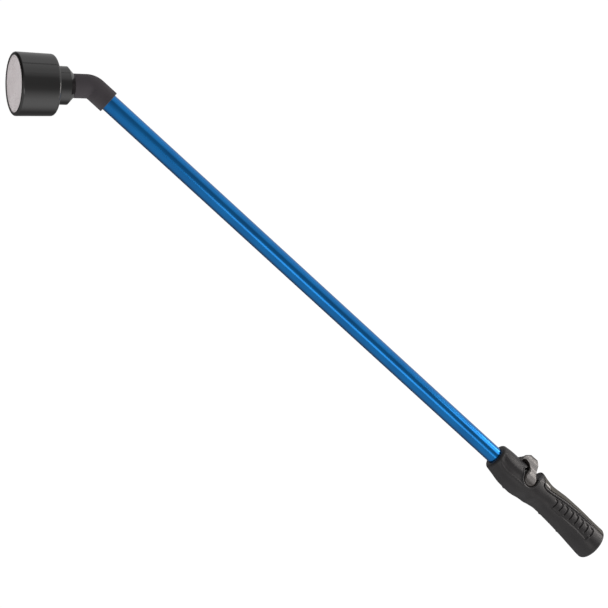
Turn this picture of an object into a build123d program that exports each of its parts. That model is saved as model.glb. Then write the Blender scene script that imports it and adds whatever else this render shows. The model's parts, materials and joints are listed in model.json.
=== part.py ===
from build123d import *
import math
import os

# Watering wand with a thumb-operated shut-off valve, in millimetres.
# Frame: origin at the centre of the hose inlet's mouth, +X out of the inlet, +Y towards the
# side that the thumb lever stands on, +Z square to the plane that the wand bends in.

# ---- driving dimensions ----------------------------------------------------------------
TUBE_OD = 19.05            # three-quarter inch tube
TUBE_WALL = 1.2
TUBE_LENGTH = 609.6        # twenty-four inches
TUBE_INSERT_HANDLE = 27.0  # length of tube hidden in the valve body's front socket
TUBE_INSERT_ELBOW = 16.8   # length of tube hidden in the elbow
HANDLE_LENGTH = 156.8
BEND_DEG = 45.0
PASSAGE_R = 6.5            # water way through the valve body

# Handle skin: stations along X, each an ellipse given by its centre height, half height
# and half width.
HANDLE_STATIONS = [
    (-156.8, 0.2, 15.2, 14.6),
    (-145.8, -0.4, 16.9, 15.6),
    (-133.8, -1.5, 18.3, 16.4),
    (-119.8, -1.4, 19.1, 17.0),
    (-99.8, 2.6, 20.3, 16.4),
    (-90.8, 2.5, 18.2, 15.9),
    (-80.8, 2.5, 16.6, 15.5),
    (-60.8, 3.0, 17.9, 16.0),
    (-38.8, 2.3, 18.7, 17.0),
    (-15.8, 0.6, 19.3, 18.5),
    (-3.8, 0.0, 19.7, 19.2),
    (0.0, 0.0, 19.7, 19.2),
]
HANDLE_WALL = 3.0
GRIP_PAD_THICK = 1.2
REAR_ROUND = 3.2
MOUTH_ROUND = 2.6
MOUTH_BORE_R = 9.75
RIB_COUNT = 8              # curved grip grooves on each side
RIB_FIRST_X = -73.0
RIB_PITCH = 7.7
RIB_DEPTH = 0.9
RIB_WIDTH = 1.0

# Valve
PIVOT_X = -111.8
ROTOR_R = 8.5
ROTOR_HALF = 8.5
ROTOR_RUNNING = 0.06       # radial running clearance of the rotor in its bore
PORT_WIDTH = 4.0           # rotor port, across the flow in the turning direction
PORT_HEIGHT = 11.0         # rotor port, along the pivot axis
SPINDLE_R = 5.0
SQUARE_DRIVE = 6.4
BODY_R = 11.4              # valve body barrel along the flow
DRUM_R = 12.0              # valve body drum around the pivot
DRUM_HALF = 11.6

# Thumb lever: a hood over the body's nose, on a leg and a round foot at each side
LEVER_HALF_WIDTH = 16.6
LEVER_LEG_INNER = 12.4
LEVER_FOOT_R = 6.8
LEVER_BOTTOM = -8.0
# half width of the lever at heights above the pivot, widest at the feet
LEVER_WIDTHS = [
    (LEVER_BOTTOM, 14.4),
    (-5.0, 16.0),
    (-1.0, LEVER_HALF_WIDTH),
    (3.0, 16.5),
    (8.0, 15.2),
    (13.0, 13.5),
    (20.0, 12.6),
    (24.0, 11.4),
    (27.6, 9.4),
]
HOOD_SCOOP_X = -134.8      # the hood's front edge is hollowed in plan, to follow the body
HOOD_SCOOP_LENGTH = 7.5
HOOD_SCOOP_HALF_WIDTH = 11.5

# Head
BARREL_FRONT_R = 31.75
BARREL_REAR_R = 30.9
BARREL_WALL = 2.4
HEAD_RIM = 80.5            # distance of the barrel's front rim from the bend point
HEAD_FACE = 79.7
BARREL_REAR = 40.3
NECK_REAR = 20.6
NECK_TAPER = 26.6
NECK_R = 19.3
FACE_R = 28.4              # visible radius of the perforated face
FACE_THICK = 2.2
FACE_RINGS = 11
FACE_RING_PITCH = 2.42
FACE_HOLE_R = 0.45
ELBOW_R = 12.35
ELBOW_BORE_R = 7.5
ELBOW_TUBE_LEG = 23.6      # distance of the elbow's tube end from the bend point
ELBOW_BEND_R = 13.0
NIPPLE_R = 11.6
NIPPLE_END = 37.0

# ---- derived places ------------------------------------------------------------------------
TUBE_R = TUBE_OD / 2
TUBE_REAR = -HANDLE_LENGTH + TUBE_INSERT_HANDLE
TUBE_FRONT = TUBE_REAR - TUBE_LENGTH
BEND_X = TUBE_FRONT + TUBE_INSERT_ELBOW - ELBOW_TUBE_LEG
BEND_RAD = math.radians(BEND_DEG)
HEAD_DIR = (-math.cos(BEND_RAD), -math.sin(BEND_RAD), 0)
BEND_TANGENT = ELBOW_BEND_R * math.tan(BEND_RAD / 2)


def across(x):
    """Plane square to the wand's length at x, its own X along +Y of the wand."""
    return Plane(origin=(x, 0, 0), x_dir=(0, 1, 0), z_dir=(1, 0, 0))


def head_plane(distance):
    """Plane square to the head's axis, this far from the bend point, facing forward."""
    origin = (BEND_X + HEAD_DIR[0] * distance, HEAD_DIR[1] * distance, 0)
    return Plane(origin=origin, x_dir=(0, 0, 1), z_dir=HEAD_DIR)


def head_profile_plane():
    """Plane through the head's axis: local X is the radius, local Y the distance."""
    return Plane(origin=(BEND_X, 0, 0), x_dir=(0, 0, 1), z_dir=Vector(0, 0, 1).cross(Vector(*HEAD_DIR)))


def save(item, name):
    item.part.label = name
    export_step(item.part, f"parts/{name}.step")


def ring_along_x(start, end, outer, inner):
    """Plain ring between two places along the wand."""
    with BuildPart() as ring:
        with BuildSketch(across(start)):
            Circle(outer)
            Circle(inner, mode=Mode.SUBTRACT)
        extrude(amount=end - start)
    return ring


def torus_along_x(places, major, minor):
    """One O-ring at each place along the wand."""
    with BuildPart() as rings:
        for x in places:
            with Locations(across(x).location):
                Torus(major, minor)
    return rings


os.makedirs("parts", exist_ok=True)


# ---- tube ------------------------------------------------------------------------------
PIN_X = TUBE_REAR - 6.0
PIN_R = 1.5
PIN_DRILL = 40.0

with BuildPart() as tube:
    with BuildSketch(across(TUBE_FRONT)):
        Circle(TUBE_R)
        Circle(TUBE_R - TUBE_WALL, mode=Mode.SUBTRACT)
    extrude(amount=TUBE_LENGTH)
    # cross hole for the lock pin that holds the tube in the valve body
    with Locations(Location((PIN_X, 0, 0))):
        Cylinder(PIN_R, PIN_DRILL, mode=Mode.SUBTRACT)
save(tube, "tube")

# ---- valve body ------------------------------------------------------------------------
SOCKET_R = 12.6
SOCKET_FRONT = -154.2
SOCKET_BORE_R = TUBE_R + 0.05
BODY_REAR = -85.8
SUPPLY_R = 7.0
SUPPLY_STOP = -99.8
SEAT_R = 7.6
SEAT_FRONT = -124.8
SEAL_PLACES = [-147.8, -143.3]
SEAL_R = 1.1
CAP_INNER = 8.6

with BuildPart() as valve_body:
    with BuildSketch(across(SOCKET_FRONT)):
        Circle(SOCKET_R)
    extrude(amount=TUBE_REAR + 2.0 - SOCKET_FRONT)
    with BuildSketch(across(TUBE_REAR + 2.0)):
        Circle(BODY_R)
    extrude(amount=BODY_REAR - TUBE_REAR - 2.0)
    with BuildSketch(Plane.XY.offset(-DRUM_HALF)):
        with Locations((PIVOT_X, 0)):
            Circle(DRUM_R)
    extrude(amount=2 * DRUM_HALF)
    # tube socket and its two seal grooves
    with BuildSketch(across(SOCKET_FRONT)):
        Circle(SOCKET_BORE_R)
    extrude(amount=TUBE_REAR - SOCKET_FRONT, mode=Mode.SUBTRACT)
    for place in SEAL_PLACES:
        with BuildSketch(across(place - SEAL_R)):
            Circle(TUBE_R + 2 * SEAL_R)
        extrude(amount=2 * SEAL_R, mode=Mode.SUBTRACT)
    # water way, seat pocket and supply socket
    with BuildSketch(across(TUBE_REAR - 1.0)):
        Circle(PASSAGE_R)
    extrude(amount=SEAT_FRONT - TUBE_REAR + 2.0, mode=Mode.SUBTRACT)
    with BuildSketch(across(SEAT_FRONT)):
        Circle(SEAT_R)
    extrude(amount=PIVOT_X - SEAT_FRONT, mode=Mode.SUBTRACT)
    with BuildSketch(across(PIVOT_X)):
        Circle(PASSAGE_R - 1.5)
    extrude(amount=SUPPLY_STOP - PIVOT_X, mode=Mode.SUBTRACT)
    with BuildSketch(across(SUPPLY_STOP)):
        Circle(SUPPLY_R + 0.05)
    extrude(amount=BODY_REAR - SUPPLY_STOP, mode=Mode.SUBTRACT)
    # rotor bore, open on the far side, with a spindle hole through the near wall
    with BuildSketch(Plane.XY.offset(-DRUM_HALF)):
        with Locations((PIVOT_X, 0)):
            Circle(ROTOR_R + ROTOR_RUNNING)
    extrude(amount=DRUM_HALF + CAP_INNER, mode=Mode.SUBTRACT)
    with BuildSketch(Plane.XY.offset(CAP_INNER)):
        with Locations((PIVOT_X, 0)):
            Circle(SPINDLE_R + ROTOR_RUNNING)
    extrude(amount=DRUM_HALF - CAP_INNER, mode=Mode.SUBTRACT)
    # cross hole for the tube's lock pin
    with Locations(Location((PIN_X, 0, 0))):
        Cylinder(PIN_R, PIN_DRILL, mode=Mode.SUBTRACT)
save(valve_body, "valve_body")

# ---- tube seals and lock pin -------------------------------------------------------------
tube_seals = torus_along_x(SEAL_PLACES, TUBE_R + SEAL_R, SEAL_R)
save(tube_seals, "tube_seals")

with BuildPart() as tube_lock_pin:
    with BuildSketch(Plane.XY.offset(-SOCKET_R + 0.2)):
        with Locations((PIN_X, 0)):
            Circle(PIN_R)
    extrude(amount=2 * SOCKET_R - 0.4)
    chamfer(tube_lock_pin.edges(), 0.3)
save(tube_lock_pin, "tube_lock_pin")

# ---- valve seat ----------------------------------------------------------------------------
with BuildPart() as valve_seat:
    with BuildSketch(across(SEAT_FRONT)):
        Circle(SEAT_R)
        Rectangle(PORT_WIDTH, PORT_HEIGHT, mode=Mode.SUBTRACT)
    extrude(amount=PIVOT_X - SEAT_FRONT)
    with BuildSketch(Plane.XY.offset(-DRUM_HALF)):
        with Locations((PIVOT_X, 0)):
            Circle(ROTOR_R + ROTOR_RUNNING)
    extrude(amount=2 * DRUM_HALF, mode=Mode.SUBTRACT)
save(valve_seat, "valve_seat")

# ---- valve rotor ---------------------------------------------------------------------------
GROOVE_Z = 6.9
GROOVE_HALF = 0.8
GROOVE_R = 7.0
DRIVE_END = 14.6
with BuildPart() as valve_rotor:
    with BuildSketch(Plane.XY.offset(-ROTOR_HALF)):
        with Locations((PIVOT_X, 0)):
            Circle(ROTOR_R)
    extrude(amount=2 * ROTOR_HALF)
    with BuildSketch(Plane.XY.offset(-LEVER_LEG_INNER)):
        with Locations((PIVOT_X, 0)):
            Circle(SPINDLE_R)
    extrude(amount=2 * LEVER_LEG_INNER)
    with BuildSketch(Plane.XY.offset(-DRIVE_END)):
        with Locations((PIVOT_X, 0)):
            Rectangle(SQUARE_DRIVE, SQUARE_DRIVE)
    extrude(amount=2 * DRIVE_END)
    # port
    with BuildSketch(across(PIVOT_X - ROTOR_R)):
        Rectangle(PORT_WIDTH, PORT_HEIGHT)
    extrude(amount=2 * ROTOR_R, mode=Mode.SUBTRACT)
    # seal grooves either side of the port
    for side in (-1, 1):
        with BuildSketch(Plane.XY.offset(side * GROOVE_Z - GROOVE_HALF)):
            with Locations((PIVOT_X, 0)):
                Circle(ROTOR_R + 0.5)
                Circle(GROOVE_R, mode=Mode.SUBTRACT)
        extrude(amount=2 * GROOVE_HALF, mode=Mode.SUBTRACT)
    # pilot hole for the lever's screw, from the far side
    with BuildSketch(Plane.XY.offset(-DRIVE_END)):
        with Locations((PIVOT_X, 0)):
            Circle(1.3)
    extrude(amount=DRIVE_END - PORT_HEIGHT / 2 - 0.6, mode=Mode.SUBTRACT)
save(valve_rotor, "valve_rotor")

with BuildPart() as rotor_seals:
    for side in (-1, 1):
        with Locations(Location((PIVOT_X, 0, side * GROOVE_Z))):
            Torus((GROOVE_R + ROTOR_R) / 2, (ROTOR_R - GROOVE_R) / 2)
save(rotor_seals, "rotor_seals")

with BuildPart() as rotor_cap:
    with BuildSketch(Plane.XY.offset(-DRUM_HALF)):
        with Locations((PIVOT_X, 0)):
            Circle(ROTOR_R + ROTOR_RUNNING)
            Circle(SPINDLE_R + ROTOR_RUNNING, mode=Mode.SUBTRACT)
    extrude(amount=DRUM_HALF - CAP_INNER)
save(rotor_cap, "rotor_cap")

# ---- thumb lever ---------------------------------------------------------------------------
# Side outline about the pivot: a round foot, a leg, and a hood that reaches forward.
LEVER_SCREW_R = 1.3
LEVER_SCREW_HOLE_R = 1.6
LEVER_SCREW_HEAD_R = 3.0
LEVER_SCREW_HEAD = 1.6
LEVER_SCREW_LENGTH = 9.0


def at_pivot(*points):
    """Points given from the pivot, in the wand's frame."""
    return [(PIVOT_X + x, y) for x, y in points]


with BuildPart() as thumb_lever:
    with BuildSketch(Plane.XY.offset(-LEVER_HALF_WIDTH)):
        with Locations((PIVOT_X, 0)):
            Circle(LEVER_FOOT_R)
        with BuildLine():
            Polyline(*at_pivot((6.2, 2.4), (-6.7, 0.8), (-7.4, 3.5), (-7.4, 7.7), (-8.0, 10.8)))
            ThreePointArc(*at_pivot((-8.0, 10.8), (-11.2, 14.8), (-16.6, 16.2)))
            Polyline(*at_pivot((-16.6, 16.2), (-19.4, 14.4), (-21.2, 13.0), (-20.8, 17.6), (-18.9, 21.0)))
            Polyline(*at_pivot((-18.9, 21.0), (-12.4, 26.8), (-2.4, 27.2), (1.0, 20.5), (2.2, 13.4)))
            Polyline(*at_pivot((2.2, 13.4), (4.6, 6.3), (6.2, 2.4)))
        make_face()
    extrude(amount=2 * LEVER_HALF_WIDTH)
    fillet(thumb_lever.edges().filter_by(Axis.Z).group_by(Axis.Y)[-1], 1.6)
    # cross-section, widest at the feet and narrower at the top
    right_side = [(height, half_width) for height, half_width in LEVER_WIDTHS]
    left_side = [(height, -half_width) for height, half_width in reversed(LEVER_WIDTHS)]
    with BuildSketch(across(PIVOT_X - 40)):
        with BuildLine():
            Polyline(*right_side, *left_side, close=True)
        make_face()
    extrude(amount=60, mode=Mode.INTERSECT)
    # room between the legs for the valve drum and the body's nose
    with BuildSketch(Plane.XY.offset(-LEVER_LEG_INNER)):
        with BuildLine():
            Polyline(*at_pivot((-25, -12), (-25, 14.6), (-19, 15.6), (-13, 17.6), (-9, 18.2), (-4, 18.2)))
            Polyline(*at_pivot((-4, 18.2), (-1.5, 17), (4, 12.6), (12, 8), (12, -12), (-25, -12)))
        make_face()
    extrude(amount=2 * LEVER_LEG_INNER, mode=Mode.SUBTRACT)
    # hollow front edge of the hood
    with BuildSketch(Plane.XZ.offset(-40)):
        with Locations((HOOD_SCOOP_X, 0)):
            Ellipse(HOOD_SCOOP_LENGTH, HOOD_SCOOP_HALF_WIDTH)
    extrude(amount=30, mode=Mode.SUBTRACT)
    # square drive sockets, and the screw hole on the far side
    with BuildSketch(Plane.XY.offset(-DRIVE_END)):
        with Locations((PIVOT_X, 0)):
            Rectangle(SQUARE_DRIVE, SQUARE_DRIVE)
    extrude(amount=2 * DRIVE_END, mode=Mode.SUBTRACT)
    with BuildSketch(Plane.XY.offset(-LEVER_HALF_WIDTH)):
        with Locations((PIVOT_X, 0)):
            Circle(LEVER_SCREW_HOLE_R)
    extrude(amount=LEVER_HALF_WIDTH - DRIVE_END, mode=Mode.SUBTRACT)
save(thumb_lever, "thumb_lever")

with BuildPart() as lever_screw:
    with BuildSketch(Plane.XY.offset(-LEVER_HALF_WIDTH - LEVER_SCREW_HEAD)):
        with Locations((PIVOT_X, 0)):
            Circle(LEVER_SCREW_HEAD_R)
    extrude(amount=LEVER_SCREW_HEAD)
    fillet(lever_screw.edges().group_by(Axis.Z)[0], 0.8)
    with BuildSketch(Plane.XY.offset(-LEVER_HALF_WIDTH)):
        with Locations((PIVOT_X, 0)):
            Circle(LEVER_SCREW_R)
    extrude(amount=LEVER_SCREW_LENGTH)
    # cross recess
    with BuildSketch(Plane.XY.offset(-LEVER_HALF_WIDTH - LEVER_SCREW_HEAD)):
        with Locations((PIVOT_X, 0)):
            Rectangle(3.2, 0.7)
            Rectangle(0.7, 3.2)
    extrude(amount=1.0, mode=Mode.SUBTRACT)
save(lever_screw, "lever_screw")

# ---- supply tube, inlet socket and washer ---------------------------------------------------
INLET_BORE_R = 13.5        # major radius of a three-quarter inch hose thread
INLET_DEPTH = 15.0
INLET_MOUTH_R = 15.3
INLET_FLANGE_R = 16.4
INLET_REAR_STEP = -6.0
INLET_FRONT = -36.0
INLET_SPIGOT_R = 11.0
SUPPLY_END = -23.0
SUPPLY_BORE_R = 5.0

SUPPLY_SEALS = [SUPPLY_STOP + 5.0, SUPPLY_END - 5.0]

with BuildPart() as supply_tube:
    with BuildSketch(across(SUPPLY_STOP)):
        Circle(SUPPLY_R)
        Circle(SUPPLY_BORE_R, mode=Mode.SUBTRACT)
    extrude(amount=SUPPLY_END - SUPPLY_STOP)
    # seal groove near each end
    for place in SUPPLY_SEALS:
        with BuildSketch(across(place - 0.8)):
            Circle(SUPPLY_R + 0.5)
            Circle(SUPPLY_R - 1.2, mode=Mode.SUBTRACT)
        extrude(amount=1.6, mode=Mode.SUBTRACT)
save(supply_tube, "supply_tube")

supply_seals = torus_along_x(SUPPLY_SEALS, SUPPLY_R - 0.6, 0.6)
save(supply_seals, "supply_seals")

with BuildPart() as inlet_socket:
    with BuildSketch(across(INLET_FRONT)):
        Circle(INLET_SPIGOT_R)
    extrude(amount=8.0)
    with BuildSketch(across(INLET_FRONT + 8.0)):
        Circle(INLET_FLANGE_R)
    extrude(amount=INLET_REAR_STEP - INLET_FRONT - 8.0)
    with BuildSketch(across(INLET_REAR_STEP)):
        Circle(INLET_MOUTH_R)
    extrude(amount=-INLET_REAR_STEP)
    with BuildSketch(across(-INLET_DEPTH)):
        Circle(INLET_BORE_R)
    extrude(amount=INLET_DEPTH, mode=Mode.SUBTRACT)
    with BuildSketch(across(-INLET_DEPTH - 3.0)):
        Circle(INLET_BORE_R - 0.6)
    extrude(amount=3.0, mode=Mode.SUBTRACT)
    with BuildSketch(across(INLET_FRONT)):
        Circle(SUPPLY_R + 0.05)
    extrude(amount=SUPPLY_END - INLET_FRONT, mode=Mode.SUBTRACT)
    with BuildSketch(across(SUPPLY_END)):
        Circle(SUPPLY_BORE_R)
    extrude(amount=6.0, mode=Mode.SUBTRACT)
save(inlet_socket, "inlet_socket")

inlet_washer = ring_along_x(-INLET_DEPTH - 3.0, -INLET_DEPTH, INLET_BORE_R - 0.6, 8.0)
save(inlet_washer, "inlet_washer")

# ---- handle shells --------------------------------------------------------------------------
RECESS_CENTRE = (-112.4, 0.0)
RECESS_R = 8.1
BULKHEAD_FRONT = -100.4    # wall that closes the body behind the lever
BULKHEAD_THICK = 2.6
# belly-side screws that join the shells: place along X, height, boss radius
SCREWS = [(-123.8, -14.5, 2.8), (-70.8, -9.4, 2.3), (-40.8, -10.6, 2.3)]
SCREW_R = 1.1
SCREW_HEAD_R = 2.0
SCREW_HEAD_Z = -5.0
SCREW_TIP_Z = 8.0


def skin(shrink):
    """Lofted handle form, with its sections drawn in by shrink."""
    with BuildPart() as form:
        for x, centre, half_height, half_width in HANDLE_STATIONS:
            with BuildSketch(across(x)):
                with Locations((centre, 0)):
                    Ellipse(half_height - shrink, half_width - shrink)
        loft()
    return form


outer_form = skin(0.0)
inner_form = skin(HANDLE_WALL)
pad_floor_form = skin(GRIP_PAD_THICK)
rib_floor_form = skin(RIB_DEPTH)

# Opening that the lever stands in: the round seat of its feet, and the space under its hood.
with BuildPart() as lever_slot:
    with BuildSketch(Plane.XY.offset(-30)):
        with Locations(RECESS_CENTRE):
            Circle(RECESS_R)
        with BuildLine():
            Polyline((-120.0, -2.8), (-125.6, 5.9), (-123.0, 9.2))
            Spline((-123.0, 9.2), (-122.2, 11.6), (-123.2, 13.7), (-125.5, 14.5), (-128.0, 14.0))
            Polyline((-128.0, 14.0), (-131.2, 12.7), (-134.4, 12.4), (-137.3, 17.0), (-137.3, 30.0))
            Polyline((-137.3, 30.0), (BULKHEAD_FRONT, 30.0), (BULKHEAD_FRONT, 18.0), (-100.8, 14.8))
            Polyline((-100.8, 14.8), (-102.2, 11.2), (-103.4, 7.5), (-104.4, 3.4))
            Polyline((-104.4, 3.4), (-104.4, 0.0), (-120.0, -2.8))
        make_face()
    extrude(amount=60)

with BuildPart() as cavity:
    add(inner_form.part)
    # closed ends: a collar wall at the front and a rear wall round the inlet's mouth
    with BuildSketch(across(-200)):
        Circle(40)
    extrude(amount=200 + SOCKET_FRONT, mode=Mode.SUBTRACT)
    with BuildSketch(across(INLET_REAR_STEP)):
        Circle(40)
    extrude(amount=40, mode=Mode.SUBTRACT)
    with BuildSketch(across(-170)):
        Circle(MOUTH_BORE_R)
    extrude(amount=40)
    with BuildSketch(across(-20)):
        Circle(INLET_MOUTH_R)
    extrude(amount=40)
    with BuildSketch(across(INLET_FRONT + 8.0)):
        Circle(INLET_FLANGE_R)
    extrude(amount=INLET_REAR_STEP - INLET_FRONT - 8.0)
    with BuildSketch(across(SOCKET_FRONT)):
        Circle(SOCKET_R)
    extrude(amount=30)
    with BuildSketch(Plane.XY.offset(-DRUM_HALF)):
        with Locations((PIVOT_X, 0)):
            Circle(DRUM_R)
    extrude(amount=2 * DRUM_HALF)

# side outline of the soft pad that covers the top of the grip
with BuildPart() as pad_region:
    with BuildSketch(Plane.XY.offset(-30)):
        with BuildLine():
            Polyline((-3.0, 30.0), (-116.0, 30.0), (-116.0, 16.0), (-99.8, 16.0), (-95.1, 10.3))
            Spline((-95.1, 10.3), (-88.0, 7.2), (-74.1, 9.3), (-54.1, 12.1), (-34.1, 11.6), (-3.0, 8.6))
            Line((-3.0, 8.6), (-3.0, 30.0))
        make_face()
    extrude(amount=60)

with BuildPart() as top_grip:
    add(outer_form.part)
    add(pad_floor_form.part, mode=Mode.SUBTRACT)
    add(pad_region.part, mode=Mode.INTERSECT)
    add(lever_slot.part, mode=Mode.SUBTRACT)
save(top_grip, "top_grip")

# curved grip grooves
with BuildPart() as rib_cutter:
    with BuildSketch(Plane.XY.offset(-30)):
        for index in range(RIB_COUNT):
            x = RIB_FIRST_X + index * RIB_PITCH
            top = 6.6 - 0.0025 * (x + 48.0) ** 2
            with BuildLine():
                ThreePointArc((x, top), (x + 3.4, 1.6), (x - 0.4, -4.0))
            trace(line_width=RIB_WIDTH)
    extrude(amount=60)
    add(rib_floor_form.part, mode=Mode.SUBTRACT)

with BuildPart() as bosses:
    for x, y, boss_r in SCREWS:
        with BuildSketch(Plane.XY.offset(-20)):
            with Locations((x, y)):
                Circle(boss_r)
        extrude(amount=40)
    add(outer_form.part, mode=Mode.INTERSECT)

with BuildPart() as bulkhead:
    with BuildSketch(across(BULKHEAD_FRONT)):
        Circle(30)
        Circle(BODY_R + 0.05, mode=Mode.SUBTRACT)
    extrude(amount=BULKHEAD_THICK)
    add(pad_floor_form.part, mode=Mode.INTERSECT)

with BuildPart() as handle_shell:
    add(outer_form.part)
    fillet(handle_shell.edges().group_by(Axis.X)[-1], REAR_ROUND)
    fillet(handle_shell.edges().group_by(Axis.X)[0], MOUTH_ROUND)
    add(cavity.part, mode=Mode.SUBTRACT)
    add(bosses.part)
    add(bulkhead.part)
    add(lever_slot.part, mode=Mode.SUBTRACT)
    add(top_grip.part, mode=Mode.SUBTRACT)
    add(rib_cutter.part, mode=Mode.SUBTRACT)

with BuildPart() as handle_shell_near:
    add(handle_shell.part)
    split(bisect_by=Plane.XY, keep=Keep.TOP)
    for x, y, boss_r in SCREWS:
        with BuildSketch(Plane.XY):
            with Locations((x, y)):
                Circle(SCREW_R)
        extrude(amount=SCREW_TIP_Z, mode=Mode.SUBTRACT)
save(handle_shell_near, "handle_shell_near")

with BuildPart() as handle_shell_far:
    add(handle_shell.part)
    split(bisect_by=Plane.XY, keep=Keep.BOTTOM)
    for x, y, boss_r in SCREWS:
        with BuildSketch(Plane.XY):
            with Locations((x, y)):
                Circle(SCREW_R)
        extrude(amount=-20, mode=Mode.SUBTRACT)
        with BuildSketch(Plane.XY.offset(SCREW_HEAD_Z)):
            with Locations((x, y)):
                Circle(SCREW_HEAD_R)
        extrude(amount=-20, mode=Mode.SUBTRACT)
save(handle_shell_far, "handle_shell_far")

with BuildPart() as handle_screws:
    for x, y, boss_r in SCREWS:
        with BuildSketch(Plane.XY.offset(SCREW_HEAD_Z)):
            with Locations((x, y)):
                Circle(SCREW_R)
        extrude(amount=SCREW_TIP_Z - SCREW_HEAD_Z)
        with BuildSketch(Plane.XY.offset(SCREW_HEAD_Z)):
            with Locations((x, y)):
                Circle(SCREW_HEAD_R)
        extrude(amount=-1.6)
        with BuildSketch(Plane.XY.offset(SCREW_HEAD_Z - 1.6)):
            with Locations((x, y)):
                Rectangle(2.4, 0.6)
                Rectangle(0.6, 2.4)
        extrude(amount=0.9, mode=Mode.SUBTRACT)
save(handle_screws, "handle_screws")

# ---- elbow ----------------------------------------------------------------------------------


def head_point(distance):
    return (BEND_X + HEAD_DIR[0] * distance, HEAD_DIR[1] * distance)


ELBOW_SEAL_X = BEND_X + ELBOW_TUBE_LEG - 7.0
ELBOW_SEAL_R = 0.8
with BuildPart() as elbow:
    with BuildLine() as elbow_path:
        FilletPolyline((BEND_X + ELBOW_TUBE_LEG, 0), (BEND_X, 0), head_point(NECK_REAR), radius=ELBOW_BEND_R)
    with BuildSketch(across(BEND_X + ELBOW_TUBE_LEG)):
        Circle(ELBOW_R)
    sweep(path=elbow_path.wires()[0])
    chamfer(elbow.edges().group_by(Axis.X)[-1], 0.5)
    with BuildSketch(head_plane(NECK_REAR)):
        Circle(NIPPLE_R)
    extrude(amount=NIPPLE_END - NECK_REAR)
    with BuildLine() as bore_path:
        FilletPolyline((BEND_X + ELBOW_TUBE_LEG, 0), (BEND_X, 0), head_point(NIPPLE_END), radius=ELBOW_BEND_R)
    with BuildSketch(across(BEND_X + ELBOW_TUBE_LEG)):
        Circle(ELBOW_BORE_R)
    sweep(path=bore_path.wires()[0], mode=Mode.SUBTRACT)
    with BuildSketch(across(TUBE_FRONT)):
        Circle(TUBE_R + 0.05)
    extrude(amount=TUBE_INSERT_ELBOW, mode=Mode.SUBTRACT)
    with BuildSketch(across(ELBOW_SEAL_X - ELBOW_SEAL_R)):
        Circle(TUBE_R + 2 * ELBOW_SEAL_R)
    extrude(amount=2 * ELBOW_SEAL_R, mode=Mode.SUBTRACT)
save(elbow, "elbow")

elbow_seal = torus_along_x([ELBOW_SEAL_X], TUBE_R + ELBOW_SEAL_R, ELBOW_SEAL_R)
save(elbow_seal, "elbow_seal")

# ---- water breaker head ----------------------------------------------------------------------
HEAD_AXIS = Axis((BEND_X, 0, 0), HEAD_DIR)
SHELL_BORE_R = 29.3
SHELL_REAR_BORE_R = 27.5
PLATE_STEP = 62.0
PLATE_THICK = 2.0
PART_R = 29.2
SLEEVE_R = 27.4
FACE_BACK = HEAD_FACE - 0.1 - FACE_THICK
GASKET_BACK = FACE_BACK - 1.8
REAR_WALL = 3.0
RIM_ROUND = 2.2
REAR_CORNER_ROUND = 3.0
SPIGOT_R = 15.0
SPIGOT_END = 46.0
THREAD_R = 11.65
WASHER_FRONT = NIPPLE_END + 2.0
WATERWAY_R = 7.6


def revolved(points):
    """Ring turned about the head's axis from (radius, distance) points."""
    with BuildPart() as turned:
        with BuildSketch(head_profile_plane()):
            with BuildLine():
                Polyline(*points, close=True)
            make_face()
        revolve(axis=HEAD_AXIS)
    return turned


with BuildPart() as breaker_shell:
    with BuildSketch(head_profile_plane()):
        with BuildLine():
            Polyline(
                (SPIGOT_R, BARREL_REAR),
                (BARREL_REAR_R, BARREL_REAR),
                (BARREL_FRONT_R, HEAD_RIM),
                (FACE_R, HEAD_RIM),
                (FACE_R, HEAD_FACE - 0.1),
                (SHELL_BORE_R, HEAD_FACE - 0.1),
                (SHELL_BORE_R, PLATE_STEP),
                (SHELL_REAR_BORE_R, PLATE_STEP),
                (SHELL_REAR_BORE_R, BARREL_REAR + REAR_WALL),
                (SPIGOT_R, BARREL_REAR + REAR_WALL),
                close=True,
            )
        make_face()
    revolve(axis=HEAD_AXIS)
    rims = breaker_shell.edges().filter_by(GeomType.CIRCLE).sort_by(lambda rim: rim.radius)
    fillet(rims[-1], RIM_ROUND)
    rims = breaker_shell.edges().filter_by(GeomType.CIRCLE).sort_by(lambda rim: rim.radius)
    fillet([rim for rim in rims if abs(rim.radius - BARREL_REAR_R) < 0.01], REAR_CORNER_ROUND)
save(breaker_shell, "breaker_shell")

breaker_neck = revolved(
    [
        (ELBOW_R + 0.6, NECK_REAR),
        (NECK_R, NECK_TAPER),
        (NECK_R, BARREL_REAR),
        (SPIGOT_R, BARREL_REAR),
        (SPIGOT_R, SPIGOT_END),
        (WATERWAY_R, SPIGOT_END),
        (WATERWAY_R, WASHER_FRONT),
        (THREAD_R, WASHER_FRONT),
        (THREAD_R, NECK_REAR),
    ]
)
save(breaker_neck, "breaker_neck")

breaker_washer = revolved(
    [
        (WATERWAY_R, NIPPLE_END),
        (THREAD_R - 0.1, NIPPLE_END),
        (THREAD_R - 0.1, WASHER_FRONT),
        (WATERWAY_R, WASHER_FRONT),
    ]
)
save(breaker_washer, "breaker_washer")

spacer_sleeve = revolved(
    [
        (SLEEVE_R, PLATE_STEP + PLATE_THICK),
        (PART_R, PLATE_STEP + PLATE_THICK),
        (PART_R, GASKET_BACK),
        (SLEEVE_R, GASKET_BACK),
    ]
)
save(spacer_sleeve, "spacer_sleeve")

face_gasket = revolved(
    [(SLEEVE_R, GASKET_BACK), (PART_R, GASKET_BACK), (PART_R, FACE_BACK), (SLEEVE_R, FACE_BACK)]
)
save(face_gasket, "face_gasket")

with BuildPart() as diffuser_plate:
    with BuildSketch(head_plane(PLATE_STEP)):
        Circle(PART_R)
        for ring in range(1, 5):
            with PolarLocations(ring * 5.6, ring * 6):
                Circle(1.3, mode=Mode.SUBTRACT)
    extrude(amount=PLATE_THICK)
save(diffuser_plate, "diffuser_plate")

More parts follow.
